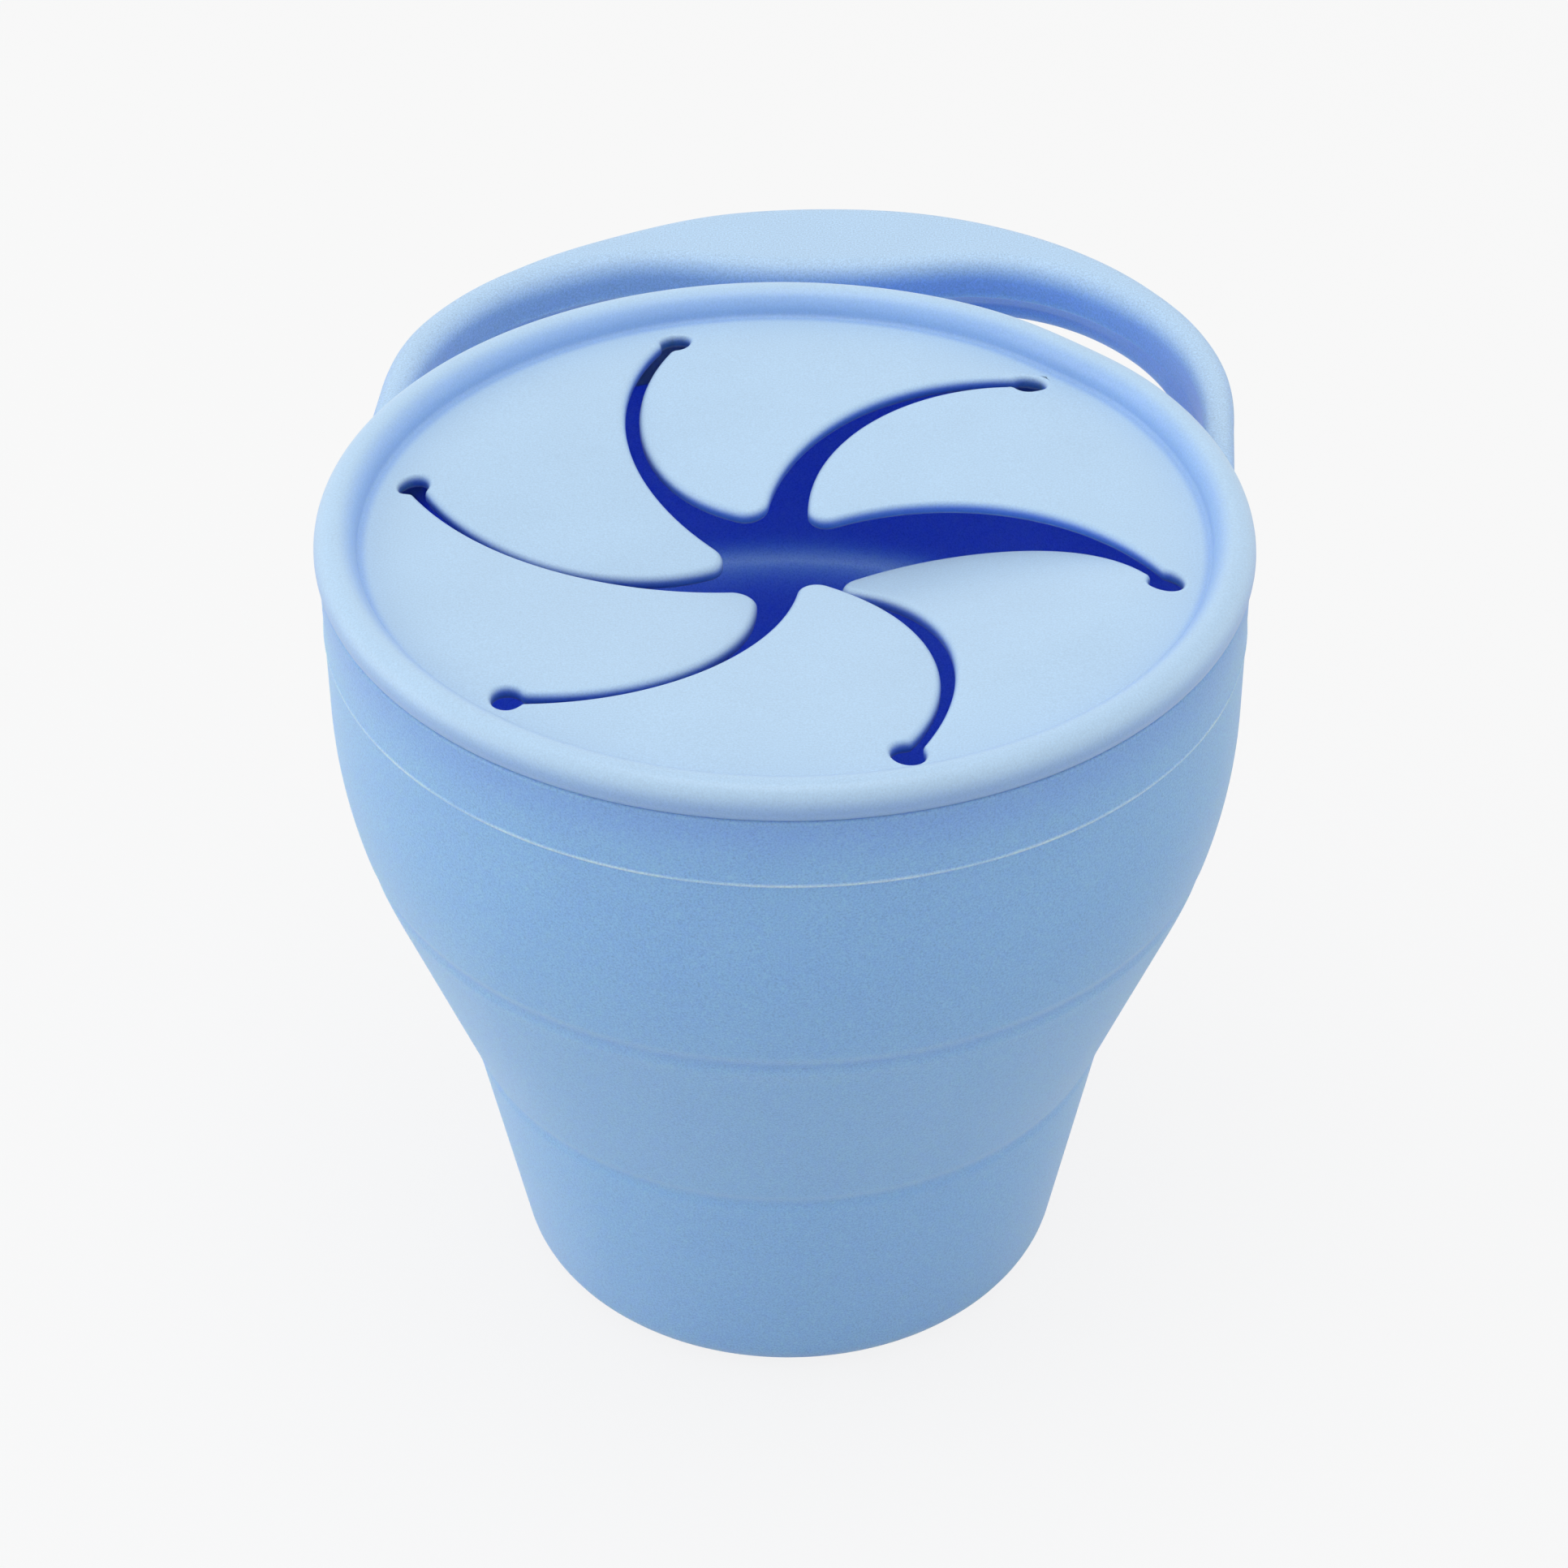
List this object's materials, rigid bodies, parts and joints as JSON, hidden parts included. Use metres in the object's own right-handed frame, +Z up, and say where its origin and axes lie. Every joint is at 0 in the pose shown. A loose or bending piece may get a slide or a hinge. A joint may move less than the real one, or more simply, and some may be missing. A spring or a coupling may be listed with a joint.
{
  "type": "collapsible snack cup",
  "caption": "Round soft silicone snack cup that folds down between two rings, with a rear loop handle and a lift-off lid whose spiral slits leave flaps around a star opening.",
  "frame": {"origin": "centre of the flat bottom face, on the surface the cup stands on", "axes": "+Z up along the cup's axis, +Y towards the handle (its middle lies 5 degrees to the +X side), +X to the right when the handle is at the back"},
  "size_m": [0.0955, 0.1213, 0.092],
  "materials": {
    "cup_silicone": "matte",
    "fold_silicone": "matte",
    "handle_silicone": "matte",
    "lid_silicone": "matte",
    "petal_silicone": "matte"
  },
  "bodies": {
    "base": {"base_tier": "cup_silicone", "fold_wall": "fold_silicone"},
    "upper": {"upper_tier": "cup_silicone"},
    "handle_loop": {"handle": "handle_silicone"},
    "lid": {"lid_ring": "lid_silicone"},
    "petal_1_flap": {"petal_1": "petal_silicone"},
    "petal_2_flap": {"petal_2": "petal_silicone"},
    "petal_3_flap": {"petal_3": "petal_silicone"},
    "petal_4_flap": {"petal_4": "petal_silicone"},
    "petal_5_flap": {"petal_5": "petal_silicone"},
    "petal_6_flap": {"petal_6": "petal_silicone"}
  },
  "joints": [
    {"name": "cup_collapse", "type": "slide", "parent": "base", "child": "upper", "axis": [0, 0, -1], "range_m": [0, 0.052], "deforming": ["fold_wall"]},
    {"name": "lid_lift", "type": "slide", "parent": "upper", "child": "lid", "axis": [0, 0, 1], "range_m": [0, 0.06]},
    {"name": "handle_flex", "type": "hinge", "parent": "upper", "child": "handle_loop", "pos_m": [0.00248, 0.02829, 0.0832], "axis": [0.9962, -0.0872, 0], "range_deg": [-30, 45], "stiffness_Nm_per_rad": 0.15},
    {"name": "petal_1_flex", "type": "hinge", "parent": "lid", "child": "petal_1_flap", "pos_m": [0.00743, 0.03295, 0.0884], "axis": [0.9755, -0.2198, 0], "range_deg": [-45, 60], "stiffness_Nm_per_rad": 0.012},
    {"name": "petal_2_flex", "type": "hinge", "parent": "lid", "child": "petal_2_flap", "pos_m": [0.03225, 0.01004, 0.0884], "axis": [0.2974, -0.9548, 0], "range_deg": [-45, 60], "stiffness_Nm_per_rad": 0.012},
    {"name": "petal_3_flex", "type": "hinge", "parent": "lid", "child": "petal_3_flap", "pos_m": [0.02482, -0.0229, 0.0884], "axis": [-0.6782, -0.7349, 0], "range_deg": [-45, 60], "stiffness_Nm_per_rad": 0.012},
    {"name": "petal_4_flex", "type": "hinge", "parent": "lid", "child": "petal_4_flap", "pos_m": [-0.00743, -0.03295, 0.0884], "axis": [-0.9755, 0.2198, 0], "range_deg": [-45, 60], "stiffness_Nm_per_rad": 0.012},
    {"name": "petal_5_flex", "type": "hinge", "parent": "lid", "child": "petal_5_flap", "pos_m": [-0.03225, -0.01004, 0.0884], "axis": [-0.2974, 0.9548, 0], "range_deg": [-45, 60], "stiffness_Nm_per_rad": 0.012},
    {"name": "petal_6_flex", "type": "hinge", "parent": "lid", "child": "petal_6_flap", "pos_m": [-0.02482, 0.0229, 0.0884], "axis": [0.6782, 0.7349, 0], "range_deg": [-45, 60], "stiffness_Nm_per_rad": 0.012}
  ]
}
